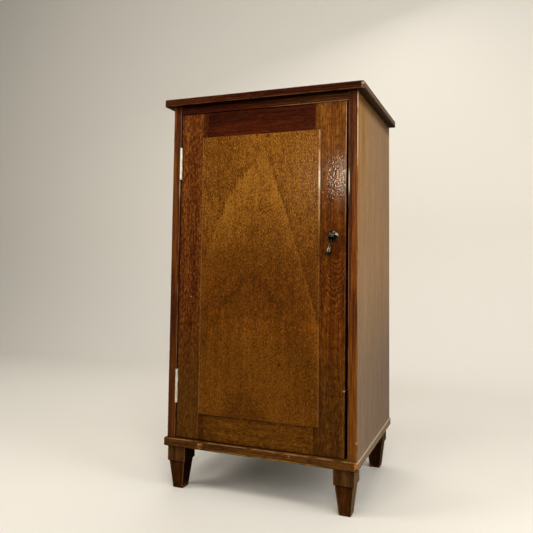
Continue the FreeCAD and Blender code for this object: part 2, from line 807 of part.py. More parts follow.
def make_catch():
    """A sprung bullet in a barrel in the top of the lock stile, under a strike plate in the header."""
    axis = ("catch_x", "0", "-(catch_y)")
    barrel = new_body("catch_barrel")
    inner = "bullet_flange_radius + fit_clearance"
    mouth = "bullet_radius + fit_clearance"
    floor = "catch_bottom + catch_floor"
    turned(barrel, "XZ_Plane", [
        ("0", "catch_bottom"), ("catch_radius", "catch_bottom"), ("catch_radius", "door_top"),
        (mouth, "door_top"), (mouth, "door_top - catch_lip"), (inner, "door_top - catch_lip"),
        (inner, floor), ("0", floor)], axis)
    finished("catch_barrel", barrel)

    bullet = new_body("catch_bullet")
    tip = "door_top + bullet_proud"
    shoulder = "door_top + bullet_shoulder"
    turned(bullet, "XZ_Plane", [
        ("0", "bullet_flange_bottom"), ("bullet_flange_radius", "bullet_flange_bottom"),
        ("bullet_flange_radius", "bullet_flange_top"), ("bullet_radius", "bullet_flange_top"),
        ("bullet_radius", shoulder), ("bullet_tip_radius", tip), ("0", tip)], axis)
    finished("catch_bullet", bullet)
    make_spring()

    dimple = rod("strike_hole", ("catch_x", "catch_y", "header_bottom"), "+z", "strike_hole_radius",
                 "strike_dimple")
    plate = board("strike_plate", ("catch_x - strike_length / 2", "catch_x + strike_length / 2"),
                  ("catch_y - strike_width / 2", "catch_y + strike_width / 2"),
                  ("header_bottom", "header_bottom + strike_thickness"))
    drilled("strike_plate", plate, [dimple])
    drilled("header_rail", make_header_rail(), [dimple])
    return [rod("catch_hole", ("catch_x", "catch_y", "catch_bottom"), "+z", "catch_radius + fit_clearance",
                "catch_length")]


def make_cabinet():
    make_case()
    make_dividers()
    make_legs(make_base_board())

    left_side = make_side("left_side", "left", "left_inner", 1)
    finished("right_side", make_side("right_side", "right", "right_inner", -1))
    hinge_stile = make_hinge_stile()
    side_holes, stile_holes = make_hinges(left_side, hinge_stile)
    drilled("left_side", left_side, side_holes)

    drilled("hinge_stile", hinge_stile, stile_holes)
    make_door_rail("door_top_rail", ("door_top - rail_height", "door_top"), "door_top")
    make_door_rail("door_bottom_rail", ("door_bottom", "door_bottom + rail_height"), "door_bottom")
    make_panel()
    drilled("lock_stile", make_lock_stile(), make_pull() + make_catch())


def check():
    """Stop if any object failed, any cut took nothing, or any piece isn't a valid solid."""
    for thing in doc.Objects:
        if {"Invalid", "Error"} & set(thing.State):
            raise RuntimeError(f"{thing.Label} failed: {thing.State}")
        if thing.TypeId == "PartDesign::Pocket":
            if thing.BaseFeature.Shape.Volume - thing.Shape.Volume < TOLERANCE:
                raise RuntimeError(f"{thing.Label} cuts nothing")
    for label, piece in pieces.items():
        if piece.Shape.isNull() or not piece.Shape.isValid() or not piece.Shape.Solids:
            raise RuntimeError(f"{label} has no valid solid")


make_cabinet()
doc.recompute()
check()
os.makedirs("parts", exist_ok=True)
for label, piece in pieces.items():
    piece.Shape.exportStep(f"parts/{label}.step")
print(f"{len(pieces)} pieces written")
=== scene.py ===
import bmesh
import bpy
import numpy as np
from mathutils import Matrix, Vector


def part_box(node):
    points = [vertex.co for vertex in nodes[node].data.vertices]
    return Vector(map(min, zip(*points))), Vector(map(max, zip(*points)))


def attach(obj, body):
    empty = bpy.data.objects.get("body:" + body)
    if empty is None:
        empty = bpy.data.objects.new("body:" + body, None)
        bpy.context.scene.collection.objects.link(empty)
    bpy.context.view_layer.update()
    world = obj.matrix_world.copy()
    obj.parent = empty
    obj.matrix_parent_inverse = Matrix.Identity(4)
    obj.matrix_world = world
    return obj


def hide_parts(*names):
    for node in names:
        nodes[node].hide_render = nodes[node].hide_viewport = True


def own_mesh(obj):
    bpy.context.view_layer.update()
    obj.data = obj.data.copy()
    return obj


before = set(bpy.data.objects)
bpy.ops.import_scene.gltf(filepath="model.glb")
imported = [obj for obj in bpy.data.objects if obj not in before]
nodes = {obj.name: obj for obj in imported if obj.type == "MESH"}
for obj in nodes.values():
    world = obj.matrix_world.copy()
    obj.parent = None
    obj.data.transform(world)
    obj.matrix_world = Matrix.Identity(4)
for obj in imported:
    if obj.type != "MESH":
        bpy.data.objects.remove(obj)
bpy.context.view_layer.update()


# Legs.
# Four square mahogany legs, each a block that steps in and then tapers to a small foot.
# They are tenoned up into the base board, stained darker than the case, with painted shade at the
# back.

class Shade:
    """One output socket of a material; arithmetic on it adds Math nodes."""

    def __init__(self, socket):
        self.socket = socket

    def math(self, operation, *values):
        tree = self.socket.id_data
        return add_node(tree, "Math", {"operation": operation}, dict(enumerate(values)))

    def __add__(self, other):
        return self.math("ADD", self, other)

    def __radd__(self, other):
        return self.math("ADD", other, self)

    def __sub__(self, other):
        return self.math("SUBTRACT", self, other)

    def __rsub__(self, other):
        return self.math("SUBTRACT", other, self)

    def __mul__(self, other):
        return self.math("MULTIPLY", self, other)

    def __rmul__(self, other):
        return self.math("MULTIPLY", other, self)

    def __pow__(self, other):
        return self.math("POWER", self, other)

    def __abs__(self):
        return self.math("ABSOLUTE", self)

    def sine(self):
        return self.math("SINE", self)

    def above(self, low, high):
        """0 where this is below low, 1 above high, and a smooth step from one to the other."""
        return add_node(self.socket.id_data, "MapRange", {"interpolation_type": "SMOOTHSTEP"},
                        {"Value": self, "From Min": low, "From Max": high})

    def below(self, low, high):
        """1 where this is below low, 0 above high."""
        return 1 - self.above(low, high)

    def near(self, middle, full, none):
        """1 within full of the middle, 0 further from it than none."""
        return abs(self - middle).below(full, none)


def add_node(tree, kind, settings, inputs, out=0):
    """A node of any kind: its settings first, then the values or links of its sockets."""
    node = tree.nodes.new(f"ShaderNode{kind}")
    for name, setting in settings.items():
        if name == "stops":
            ramp = node.color_ramp.elements
            while len(ramp) < len(setting):
                ramp.new(1.0)
            for stop, (place, colour) in zip(ramp, setting):
                stop.position = place
                stop.color = colour
        else:
            setattr(node, name, setting)
    for key, given in inputs.items():
        if isinstance(given, Shade):
            tree.links.new(given.socket, node.inputs[key])
        else:
            node.inputs[key].default_value = given
    return Shade(node.outputs[out])


def paint(red, green, blue):
    """A colour as a paint card gives it, 0 to 255, in linear light."""
    card = np.array([red, green, blue]) / 255
    linear = np.where(card <= 0.04045, card / 12.92, ((card + 0.055) / 1.055) ** 2.4)
    return (*linear.tolist(), 1.0)


class Finish:
    """A material under construction, with the piece's own place in metres."""

    def __init__(self, name, slot):
        self.material = bpy.data.materials.new(name)
        self.material.use_nodes = True
        self.slot = slot
        self.tree = self.material.node_tree
        self.surface = self.tree.nodes["Principled BSDF"]
        self.place = self.node("TexCoord", {}, {}, "Object")
        self.x, self.y, self.z = (self.node("SeparateXYZ", {}, {0: self.place}, axis)
                                  for axis in "XYZ")

    def node(self, kind, settings, inputs, out=0):
        return add_node(self.tree, kind, settings, inputs, out)

    def constant(self, **sockets):
        """Values that are the same all over, set on the shader's own sockets."""
        for name, given in sockets.items():
            self.surface.inputs[name.replace("_", " ")].default_value = given

    def noise(self, sizes, seed, detail=2.0, roughness=0.5, bend=0.0):
        """Cloudy noise whose patches have the given sizes along the three axes."""
        shift = (seed, seed * 1.7, seed * 2.3)
        scale = tuple(1 / size for size in sizes)
        stretched = self.node("Mapping", {},
                              {"Vector": self.place, "Location": shift, "Scale": scale})
        return self.node("TexNoise", {}, {"Vector": stretched, "Scale": 1.0, "Detail": detail,
                                          "Roughness": roughness, "Distortion": bend})

    def shades(self, tone, *colours, spread=0.12):
        """Paint colours from dark to light over tones from 0.5 - spread to 0.5 + spread."""
        places = np.linspace(0.5 - spread, 0.5 + spread, len(colours)).tolist()
        stops = [(place, paint(*colour)) for place, colour in zip(places, colours)]
        return self.node("ValToRGB", {"stops": stops}, {0: tone})

    def mix(self, mask, under, over):
        """Colour over laid on colour under where the mask is 1."""
        return self.node("Mix", {"data_type": "RGBA"}, {0: mask, 6: under, 7: over}, 2)

    def spot(self, x, z, radius):
        """1 within a round mark on an upright face, fading out over the last half of its radius."""
        return ((self.x - x) ** 2.0 + (self.z - z) ** 2.0).below((0.5 * radius) ** 2, radius ** 2)

    def lay(self, colour, roughness, relief, depth):
        """Connect the finish; depth is how far the relief stands, in metres."""
        bump = self.node("Bump", {}, {"Strength": 1.0, "Distance": depth, "Height": relief})
        for name, given in (("Base Color", colour), ("Roughness", roughness), ("Normal", bump)):
            self.tree.links.new(given.socket, self.surface.inputs[name])

    def on(self, *names):
        """Put the finish on these CAD nodes."""
        for name in names:
            mesh = nodes[name].data
            mesh.materials.clear()
            mesh.materials.append(self.material)


def along(grain, length, across):
    """Patch sizes for a pattern that runs with the grain."""
    return tuple(length if axis == grain else across for axis in "xyz")


class Timber(Finish):
    """Polished mahogany: soft bands, streaks and short dark pores, drawn out along the grain."""

    def __init__(self, name, slot, grain, seed):
        super().__init__(name, slot)
        self.constant(Specular_IOR_Level=0.13)
        self.bands = self.noise(along(grain, 0.45, 0.018), seed, 3.0, 0.5, 0.3)
        self.streaks = self.noise(along(grain, 0.085, 0.0028), seed + 3, 3.0, 0.6)
        self.pores = self.noise(along(grain, 0.012, 0.0017), seed + 7, 2.0, 0.55)
        self.ripple = self.noise(along(grain, 0.0075, 0.0038), seed + 9, 1.0)
        self.tone = self.bands * 0.5 + self.streaks * 0.5

    def polish(self, colour, roughness=0.13, pore_colour=paint(38, 13, 2), pore_depth=0.60,
               glint=0.12, relief=0.00006):
        """Pores darker than the wood, a painted glint on the ridges between, and rippled polish on
        top.
        """
        body = self.mix(self.pores.above(0.53, 0.66) * pore_depth, colour, pore_colour)
        body = self.mix(self.pores.below(0.32, 0.46) * glint, body, paint(168, 108, 44))
        height = self.streaks + self.ripple * 2.1 - self.pores * 0.25
        self.lay(body, roughness + self.streaks * 0.06, height, relief)


leg_names = [f"{row}_{side}_leg" for row in ("front", "rear") for side in ("left", "right")]
block_bottom = 0.0615
leg_middle = 0.19725
block_half, taper_half, foot_half = 0.02275, 0.01975, 0.01275
arris_inset = 0.0018
leg = Timber("leg_mahogany", "leg_wood", "z", 11.0)
leg.constant(Specular_IOR_Level=0.03)
block_colour = leg.shades(leg.tone, (48, 28, 8), (68, 42, 15), (88, 58, 26))
taper_colour = leg.shades(leg.tone, (34, 16, 3), (52, 26, 5), (72, 40, 11))
foot_scuff = leg.z.below(0.004, 0.030) * leg.noise((0.012, 0.012, 0.012), 5.0).above(0.50, 0.66)
under_block = leg.z.below(block_bottom - 0.0005, block_bottom + 0.0025)
leg_body = leg.mix(under_block, block_colour, taper_colour)
step_line = leg.z.near(block_bottom, 0.0008, 0.0022)
leg_body = leg.mix(step_line * 0.6, leg_body, paint(18, 7, 2))
on_block = leg.z.above(block_bottom, block_bottom + 0.0030)
slim_half = foot_half + leg.z * ((taper_half - foot_half) / block_bottom)
leg_half = slim_half + on_block * (block_half - slim_half)
from_inner = abs(leg.x) - leg_middle + leg_half
from_outer = leg_half - abs(leg.x) + leg_middle
arris_line = from_inner.near(arris_inset, 0.0006, 0.0016)
leg_body = leg.mix(arris_line * 0.30, leg_body, paint(140, 96, 52))
# Painted shade: the inner faces, under the case, are darkened nearly black.
leg_body = leg.mix(from_inner.below(0.0005, 0.0011) * 0.85, leg_body, paint(12, 4, 1))
# Painted reflection: the outer faces are lightened to a pale grey-brown.
leg_body = leg.mix(from_outer.below(0.0005, 0.0014) * 0.6, leg_body, paint(118, 98, 72))
# Painted shade: the rear pair of legs is darkened towards near black.
rear_shade = leg.y.above(0.0, 0.05)
leg_body = leg.mix(rear_shade * 0.6, leg_body, paint(16, 6, 2))
leg.polish(leg.mix(foot_scuff * 0.4, leg_body, paint(112, 70, 36)), 0.30, glint=0.02)
leg.on(*leg_names)


# Base board.
# A mahogany board with eased edges carries the case and laps over the legs.
# Its edge is orange-brown, with the upper corner rubbed to a pale line and the lower to bare wood.

base_low, base_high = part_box("base_board")
base = Timber("base_mahogany", "case_wood", "x", 23.0)
base_colour = base.shades(base.tone, (50, 25, 4), (74, 42, 9), (98, 62, 20))
base_wear = base.noise((0.024, 0.024, 0.004), 4.0, 3.0)
on_edge = 1 - (base.y.above(base_low.y + 0.004, base_low.y + 0.006)
               * abs(base.x).below(base_high.x - 0.0050, base_high.x - 0.0035))
upper_line = (base.z.above(base_high.z - 0.0014, base_high.z - 0.0006)
              * on_edge * base_wear.above(0.40, 0.56))
rubbed_middle = base.x.near(0.025, 0.090, 0.150)
lower_line = (base.z.below(base_low.z + 0.0030, base_low.z + 0.0050)
              * on_edge * rubbed_middle * base_wear.above(0.36, 0.50))
corner_squared = (base.x - base_high.x) ** 2.0 + (base.y - base_low.y) ** 2.0
corner = corner_squared.below(0.00001, 0.00009)
rub_marks = ((-0.1331, 0.1080, 0.010), (-0.0103, 0.1135, 0.003), (0.0792, 0.1095, 0.003))
rub = sum((base.spot(*mark) for mark in rub_marks), 0.0) * on_edge * base_wear.above(0.42, 0.56)
base_body = base.mix(lower_line * 0.60, base_colour, paint(142, 106, 48))
base_body = base.mix(rub * 0.7, base_body, paint(150, 104, 56))
base_body = base.mix(upper_line * 0.40, base_body, paint(176, 136, 92))
# Painted reflection: the right end face is lightened to a pale grey.
base_end_reflection = (base.x.above(base_high.x - 0.0024, base_high.x - 0.0010)
            * base.y.above(base_low.y + 0.003, base_low.y + 0.010))
base_body = base.mix(base_end_reflection * 0.7, base_body, paint(144, 128, 106))
end_line = (base.z.above(base_high.z - 0.0030, base_high.z - 0.0010)
            * base.x.above(base_high.x - 0.0040, base_high.x - 0.0020))
base_body = base.mix(end_line * 0.7, base_body, paint(196, 176, 146))
corner_wear = base.noise((0.010, 0.010, 0.010), 15.0, 3.0).above(0.36, 0.54)
base_body = base.mix(corner * corner_wear * 0.7, base_body, paint(184, 116, 58))
# Painted shade: the underside is darkened nearly black.
base_under_shade = base.z.below(base_low.z + 0.0002, base_low.z + 0.0008)
base.polish(base.mix(base_under_shade * 0.8, base_body, paint(26, 12, 4)), 0.20)
base.on("base_board")


# Sides.
# Two solid mahogany sides, housed in the base, whose front edges show either side of the door.
# Outer faces faded to tan, with a painted grey reflection low down; front edges redder and rubbed
# pale.

side_low, side_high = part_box("right_side")
side_glint_level = 0.694
side = Timber("side_mahogany", "case_wood", "z", 37.0)
side.constant(Specular_IOR_Level=0.08)
side_grain = side.noise((0.0060, 0.0060, 0.20), 31.0, 4.0, 0.65)
side_tone = side.bands * 0.15 + side_grain * 0.20 + side.streaks * 0.35 + 0.15
faded = side.shades(side_tone, (131, 101, 69), (147, 117, 86), (163, 133, 102))
warm = side.shades(side_tone, (122, 82, 36), (152, 109, 56), (178, 136, 80), spread=0.09)
# Painted reflection: the outer faces turn grey low down and a little towards the back.
reflection_grey = side.shades(side_tone, (98, 87, 77), (108, 96, 86), (118, 106, 96))
warming = side.y.below(side_low.y + 0.02, side_low.y + 0.14) * side.z.above(0.50, 0.86)
low_reflection = side.z.below(0.22, 0.54) * 0.65 + side.y.above(side_low.y + 0.12, side_high.y) * 0.10
outer_face = side.mix(low_reflection, side.mix(warming * 0.85, faded, warm), reflection_grey)
# Painted shadow of the top's overhang across the upper part of the outer faces.
overhang_shadow = side.z.above(side_high.z - 0.034, side_high.z - 0.008)
outer_face = side.mix(overhang_shadow * 0.75, outer_face, paint(66, 36, 10))
edge_colour = side.shades(side.tone, (40, 13, 2), (72, 31, 5), (112, 60, 16), spread=0.08)
orange = side.shades(side.tone, (66, 31, 4), (93, 48, 7), (118, 70, 16))
edge_colour = side.mix(side.z.below(0.22, 0.45), edge_colour, orange)
from_inside = abs(side.x) - side_low.x
edge_colour = side.mix(from_inside.below(0.0015, 0.0075) * 0.4, edge_colour, paint(58, 20, 4))
on_right = side.x.above(-0.1, 0.1)
red_patch = (side.z.near(0.395, 0.010, 0.060) * 0.45 + side.z.above(0.74, 0.84) * 0.35
             + (1 - on_right) * 0.3)
edge_colour = side.mix(red_patch, edge_colour, paint(56, 18, 4))
# Painted highlight: a lighter orange strip on the upper part of the left front edge.
left_edge_highlight = (side.x.below(0.0050 - side_high.x, 0.0085 - side_high.x)
              * side.streaks.above(0.30, 0.55) * side.z.above(0.62, 0.72))
edge_colour = side.mix(left_edge_highlight * 0.65, edge_colour, paint(128, 70, 20))
front_edge = side.y.below(side_low.y + 0.0012, side_low.y + 0.0024)
side_body = side.mix(front_edge, outer_face, edge_colour)
side_wear = side.noise((0.02, 0.02, 0.05), 9.0, 3.0).above(0.34, 0.54)
outer_corner = (side.y.below(side_low.y + 0.0014, side_low.y + 0.0024)
                * abs(side.x).above(side_high.x - 0.0019, side_high.x - 0.0010))
inner_corner = front_edge * from_inside.below(0.0009, 0.0019)
side_body = side.mix(inner_corner * side_wear * 0.50, side_body, paint(150, 110, 84))
# Painted highlight: a short near-white glint on the front edges' inner corners, stronger on the
# right.
corner_glint = (front_edge * from_inside.below(0.0019, 0.0033)
                 * side.z.near(side_glint_level, 0.008, 0.034))
corner_glint_strength = 0.25 + on_right * 0.35
side_body = side.mix(corner_glint * corner_glint_strength, side_body, paint(236, 216, 188))
# Wear on the outer front corner, with a painted highlight that brightens it towards the top.
outer_rub_and_highlight = side_wear * (0.12 + side.z.above(0.66, 0.78) * 0.60)
side_body = side.mix(outer_corner * outer_rub_and_highlight, side_body, paint(222, 194, 160))
lining = side.shades(side_tone, (92, 57, 28), (120, 80, 44), (148, 106, 66))
# Painted shade: the inner faces darken nearly black just behind the front edge.
lip_shade = side.y.below(side_low.y + 0.018, side_low.y + 0.030)
lining = side.mix(lip_shade * 0.85, lining, paint(28, 11, 3))
side_body = side.mix(from_inside.below(0.0001, 0.0005), side_body, lining)
edge_chip = side.spot(0.2231, 0.1520, 0.0030) * front_edge * 0.4
side_body = side.mix(edge_chip, side_body, paint(206, 160, 108))
side_gloss = 0.10 + front_edge * 0.20
side.polish(side_body, side_gloss, pore_colour=paint(70, 40, 16), pore_depth=0.22)
side.on("left_side", "right_side")


# Boards inside the case.
# An inner top, a middle shelf and thin upright dividers in grooves part the case into record slots.
# They are plain wood with a thin coat of polish, and a stop strip hangs behind the door's top edge.

shelf_front, divider_front = -0.1490, -0.1330
inside_upright = Timber("divider_wood", "inner_wood", "z", 53.0)
inside_flat = Timber("shelf_wood", "inner_wood", "x", 59.0)
for inside in (inside_upright, inside_flat):
    inside_colour = inside.shades(inside.tone, (104, 66, 34), (136, 92, 52), (166, 120, 74))
    front_rub = (inside.y.below(shelf_front, shelf_front + 0.0030)
                 + inside.y.below(divider_front, divider_front + 0.0020))
    sleeve_scuff = inside.noise((0.05, 0.05, 0.02), 12.0, 4.0, 0.6).above(0.52, 0.70) * 0.3
    inside_body = inside.mix(front_rub * 0.25 + sleeve_scuff, inside_colour, paint(182, 140, 92))
    inside.polish(inside_body, 0.42, pore_colour=paint(58, 30, 10), pore_depth=0.5)
inside_upright.on(*[name for name in nodes if "_divider_" in name])
inside_flat.on("inner_top", "middle_shelf", "door_stop")


# Back panel.
# A thin sheet of unpolished plywood lies in rebates behind the case.
# Round-headed slotted screws hold it along both sides.

back = Timber("back_plywood", "back_wood", "z", 67.0)
ring_middle = 0.03
back_rings = (abs(back.x - ring_middle) ** 1.5 * 900.0 + back.bands * 14.0 + back.z * 3.0).sine()
back_tone = back.tone + back_rings * 0.035
back_colour = back.shades(back_tone, (136, 98, 60), (168, 128, 84), (194, 154, 108))
back_dust = back.noise((0.20, 0.20, 0.30), 2.0, 3.0).above(0.40, 0.70)
back_body = back.mix(back_dust * 0.35, back_colour, paint(118, 92, 64))
back.polish(back_body, 0.60, pore_colour=paint(92, 60, 32), pore_depth=0.5)
back.on("back_panel")


def surface(name, grids, body, finish):
    """One mesh over grids of points, each closed round its second direction, doubles merged."""
    same_point, sharp_angle = 1e-7, np.radians(35)
    points, quads, first = [], [], 0
    for grid in grids:
        rows, columns = grid.shape[:2]
        number = first + np.arange(rows * columns).reshape(rows, columns)
        after = np.roll(number, -1, axis=1)
        faces = np.stack([number[:-1], after[:-1], after[1:], number[1:]], axis=-1)
        quads.append(faces.reshape(-1, 4))
        points.append(grid.reshape(-1, 3))
        first += rows * columns
    mesh = bpy.data.meshes.new(name)
    mesh.from_pydata(np.concatenate(points).tolist(), [], np.concatenate(quads).tolist())
    shell = bmesh.new()
    shell.from_mesh(mesh)
    bmesh.ops.remove_doubles(shell, verts=shell.verts, dist=same_point)
    bmesh.ops.recalc_face_normals(shell, faces=shell.faces)
    shell.to_mesh(mesh)
    shell.free()
    mesh.materials.append(finish.material)
    mesh.polygons.foreach_set("use_smooth", np.ones(len(mesh.polygons), bool))
    mesh.set_sharp_from_angle(angle=sharp_angle)
    piece = bpy.data.objects.new(name, mesh)
    bpy.context.scene.collection.objects.link(piece)
    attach(piece, body)
    return piece


def spun(profile, origin, axis, across, steps=64):
    """A profile of (radius, height) spun round an axis: origin + axis*height + ring*radius."""
    radius, height = np.array(profile, float).T
    axis, across = np.array(axis, float), np.array(across, float)
    angle = np.linspace(0, 2 * np.pi, steps, endpoint=False)[:, None]
    ring = np.cos(angle) * across + np.sin(angle) * np.cross(axis, across)
    return np.array(origin) + height[:, None, None] * axis + radius[:, None, None] * ring


def slotted(grid, origin, axis, slot_turn, width, depth):
    """Press a slot into a turned grid: points near the slot's line sink by depth at its end."""
    axis = np.array(axis, float)
    offset = grid - np.array(origin)
    height = offset @ axis
    side_on = np.roll(axis, 1)
    line = np.cos(slot_turn) * side_on + np.sin(slot_turn) * np.cross(axis, side_on)
    slot_half, slot_wall = 0.62 * width, 0.12 * width
    nearness = np.clip((slot_half - np.abs(offset @ line)) / slot_wall, 0, 1)
    sunk = nearness * np.clip(height - (height.max() - 2 * depth), 0, depth)
    return grid - sunk[..., None] * axis


steel = Finish("screw_steel", "catch_metal")
steel_tarnish = steel.noise((0.004, 0.004, 0.004), 6.0, 3.0)
steel_colour = steel.shades(steel_tarnish, (96, 86, 74), (140, 132, 122), (180, 174, 164))
steel.constant(Metallic=0.7)
steel.lay(steel_colour, 0.28 + steel_tarnish * 0.25, steel_tarnish, 0.0001)

back_low, back_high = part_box("back_panel")
head_radius, head_height, head_sink = 0.0036, 0.0018, 0.0004
dome = np.linspace(0, 1, 40) * np.pi / 2
round_head = np.stack([np.sin(dome) * head_radius, np.cos(dome) * head_height], axis=1)
round_head = np.concatenate([round_head, [[head_radius, -head_sink], [0.0, -head_sink]]])
screw_inset, screw_margin = 0.005, 0.045
screw_levels = np.linspace(back_low.z + screw_margin, back_high.z - screw_margin, 5)
screw_columns = {"left": back_low.x + screw_inset, "right": back_high.x - screw_inset}
for side_name, screw_x in screw_columns.items():
    heads = []
    for number, level in enumerate(screw_levels):
        spot = (screw_x, back_high.y, level)
        head = spun(round_head, spot, (0, 1, 0), (1, 0, 0))
        heads.append(slotted(head, spot, (0, 1, 0), 0.9 * number, width=0.0009, depth=0.0008))
    surface(f"back_screws_{side_name}", heads, "carcass", steel)


# Header rail.
# A narrow mahogany rail is tenoned between the sides over the door.
# It lies in the shadow of the top and has stayed dark, with fine lines at its joints.

header_low, header_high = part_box("header_rail")
header_end = side_low.x
header = Timber("header_mahogany", "case_wood", "x", 71.0)
header_red = header.shades(header.tone, (36, 8, 2), (58, 17, 3), (82, 35, 8))
header_brown = header.shades(header.tone, (46, 20, 4), (72, 36, 8), (98, 58, 18))
header_colour = header.mix(header.x.above(-0.05, 0.18), header_red, header_brown)
header_joint = abs(header.x).near(header_end, 0.0003, 0.0009)
lower_corner = (header.z.below(header_low.z + 0.0008, header_low.z + 0.0020)
                * header.x.above(-0.02, 0.10)
                * header.y.below(header_low.y + 0.0010, header_low.y + 0.0024))
header_body = header.mix(lower_corner * 0.5, header_colour, paint(172, 132, 96))
header_shade = header.z.above(header_high.z - 0.0045, header_high.z - 0.0010)
header_body = header.mix(header_shade * 0.85, header_body, paint(10, 3, 1))
header_body = header.mix(header_joint * 0.8, header_body, paint(20, 7, 2))
header.polish(header_body, 0.16, glint=0.05)
header.on("header_rail")


# Top board.
# A mahogany top with softly rounded edges overhangs the front and both sides.
# Its edge is dark red, its corners are rubbed lighter, and its underside is painted nearly black as
# shade.

top_low, top_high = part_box("top_board")
top = Timber("top_mahogany", "case_wood", "x", 83.0)
top.constant(Specular_IOR_Level=0.10)
top_colour = top.shades(top.tone, (24, 5, 1), (41, 12, 3), (64, 26, 7))
top_wear = top.noise((0.030, 0.030, 0.008), 8.0, 3.0)
top_rim = 1 - (top.y.above(top_low.y + 0.0020, top_low.y + 0.0045)
               * abs(top.x).below(top_high.x - 0.0045, top_high.x - 0.0020))
upper_arris = (top.z.above(top_high.z - 0.0034, top_high.z - 0.0012)
               * top_rim * top_wear.above(0.44, 0.62))
under_arris = (top.z.below(top_low.z + 0.0016, top_low.z + 0.0030)
               * top_rim * top_wear.above(0.30, 0.50))
# Painted reflection: the right end is lightened to a pale grey.
end_reflection = (top.x.above(top_high.x - 0.0030, top_high.x - 0.0010)
            * top.y.above(top_low.y, top_low.y + 0.008)
            * top.z.above(top_low.z + 0.002, top_low.z + 0.006))
top_corner_squared = (top.x - top_high.x) ** 2.0 + (top.y - top_low.y) ** 2.0
top_corner = top_corner_squared.below(0.000004, 0.000050) * top_wear.above(0.36, 0.50)
top_body = top.mix(end_reflection * 0.7, top_colour, paint(124, 110, 92))
top_body = top.mix(upper_arris * 0.35, top_body, paint(134, 88, 48))
top_body = top.mix(under_arris * 0.45, top_body, paint(106, 70, 50))
top_body = top.mix(top_corner * 0.75, top_body, paint(190, 150, 108))
# Painted shade: the underside is darkened nearly black.
top_under_shade = top.z.below(top_low.z + 0.0002, top_low.z + 0.0010)
top_body = top.mix(top_under_shade * 0.9, top_body, paint(10, 4, 2))
top.polish(top_body, 0.16, glint=0.05)
top.on("top_board")


# Door frame.
# Two mahogany stiles run the full height and two rails are tenoned between them.
# The top rail is dark red, the bottom one curly, and the closing stile shows the tree's heart.

hinge_low, hinge_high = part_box("hinge_stile")
lock_low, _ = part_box("lock_stile")
# Both stiles turn from red brown to olive between these heights.
olive_start, olive_end = 0.20, 0.50

hinge_stile = Timber("hinge_stile_mahogany", "door_wood", "z", 97.0)
hinge_fleck = hinge_stile.noise((0.0030, 0.0030, 0.0085), 17.0, 3.0, 0.6, 0.6)
hinge_tone = hinge_stile.tone * 0.45 + hinge_fleck * 0.55
hinge_colour = hinge_stile.shades(hinge_tone, (46, 16, 3), (86, 40, 10), (128, 76, 26), spread=0.10)
hinge_olive = hinge_stile.shades(hinge_tone, (56, 30, 5), (74, 42, 8), (92, 56, 13))
hinge_body = hinge_stile.mix(hinge_stile.z.below(olive_start, olive_end), hinge_colour, hinge_olive)
inner_strip = hinge_stile.x.above(-0.1445, -0.1430)
hinge_body = hinge_stile.mix(inner_strip * 0.70, hinge_body, paint(52, 16, 3))
# Darker along the stile's hinge edge.
hinge_edge_darkening = hinge_stile.x.below(hinge_low.x + 0.0010, hinge_low.x + 0.0035)
hinge_body = hinge_stile.mix(hinge_edge_darkening * 0.5, hinge_body, paint(40, 14, 4))
hinge_nick = hinge_stile.spot(-0.1695, 0.4394, 0.0018)
hinge_body = hinge_stile.mix(hinge_nick * 0.8, hinge_body, paint(196, 150, 100))
hinge_stile.polish(hinge_body)
hinge_stile.on("hinge_stile")

lock_stile = Timber("lock_stile_mahogany", "door_wood", "z", 101.0)
lock_stile.ripple = lock_stile.noise(along("z", 0.0056, 0.0036), 110.0, 1.0)
curl = lock_stile.noise((0.012, 0.012, 0.010), 14.0, 3.0, 0.55, 0.8)
lock_tone = lock_stile.tone * 0.7 + curl * 0.3
lock_colour = lock_stile.shades(lock_tone, (54, 21, 2), (85, 39, 5), (120, 68, 16))
lock_light = lock_stile.shades(lock_tone, (66, 33, 8), (100, 55, 16), (134, 85, 32))
lock_colour = lock_stile.mix(lock_stile.z.above(0.60, 0.78), lock_colour, lock_light)
lock_olive = lock_stile.shades(lock_tone, (46, 24, 4), (72, 40, 8), (98, 60, 16))
lower_lock = lock_stile.z.below(olive_start, olive_end - 0.06)
lock_body = lock_stile.mix(lower_lock, lock_colour, lock_olive)
heart_x, heart_z = 0.1775, 0.474
heart_bend = lock_stile.noise((0.018, 0.018, 0.030), 21.0, 2.0)
heart_rise = abs(lock_stile.x - heart_x) ** 1.6 * 9.0 - lock_stile.z
heart_rings = (heart_rise * 560.0 + heart_bend * 18.0).sine().above(0.0, 0.80)
heart_reach = lock_stile.z.near(heart_z, 0.035, 0.090) * lock_stile.x.near(0.166, 0.028, 0.037)
fan_rise = lock_stile.x + lock_stile.z * 0.8
fan_lines = (fan_rise * 1150.0 + heart_bend * 12.0).sine().above(0.3, 0.95)
fan_reach = lock_stile.spot(0.147, 0.612, 0.024)
heart_mark = (heart_rings * heart_reach + fan_lines * fan_reach * 0.7) * curl.above(0.30, 0.50)
lock_body = lock_stile.mix(heart_mark * 0.80, lock_body, paint(44, 16, 3))
# Darker round the pull.
pull_darkening = lock_stile.spot(0.1690, 0.5600, 0.0380)
lock_body = lock_stile.mix(pull_darkening * 0.45, lock_body, paint(48, 16, 3))
lock_front = lock_stile.y.below(lock_low.y + 0.0008, lock_low.y + 0.0020)
lock_edge_low, lock_edge_slope = 0.1972, 0.00413
lock_edge = lock_edge_low + (lock_stile.z - lock_low.z) * lock_edge_slope
lock_arris = (lock_edge - lock_stile.x).below(0.0012, 0.0024) * lock_front
lock_wear = lock_stile.noise((0.02, 0.02, 0.04), 3.0, 3.0).above(0.34, 0.54)
